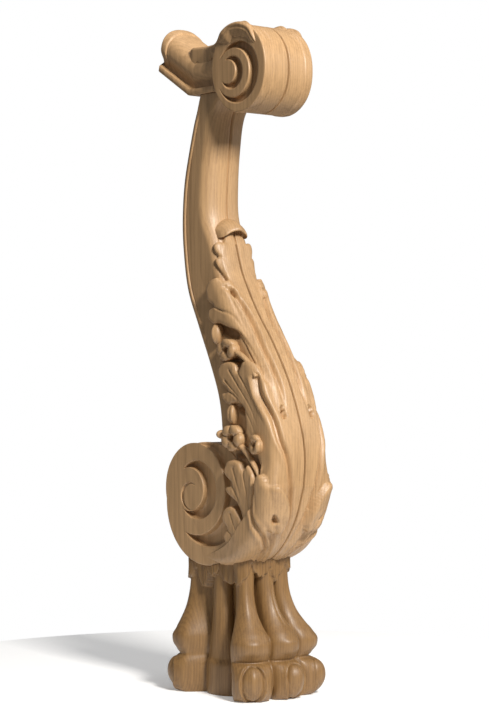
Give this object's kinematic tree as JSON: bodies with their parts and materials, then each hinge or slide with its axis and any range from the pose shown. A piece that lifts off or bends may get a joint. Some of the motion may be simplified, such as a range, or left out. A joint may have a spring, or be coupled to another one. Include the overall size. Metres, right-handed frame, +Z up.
{
  "type": "newel post",
  "caption": "Carved oak newel post: an S-shaped scroll with acanthus leaf and flowers on a lion-paw foot, with the start of a moulded handrail at its top.",
  "frame": {"origin": "on the flat underside of the foot, between its near and far legs, below the middle of the neck", "axes": "+Z up along the height of the post; +X towards the front, away from the handrail; Y across the thickness"},
  "size_m": [0.3395, 0.1981, 1.1872],
  "materials": {
    "oak": "satin",
    "oak_foot": "satin",
    "oak_rail": "satin"
  },
  "bodies": {
    "root": {"scroll_post": "oak", "lion_paw_foot": "oak_foot", "handrail_start": "oak_rail"}
  },
  "joints": []
}
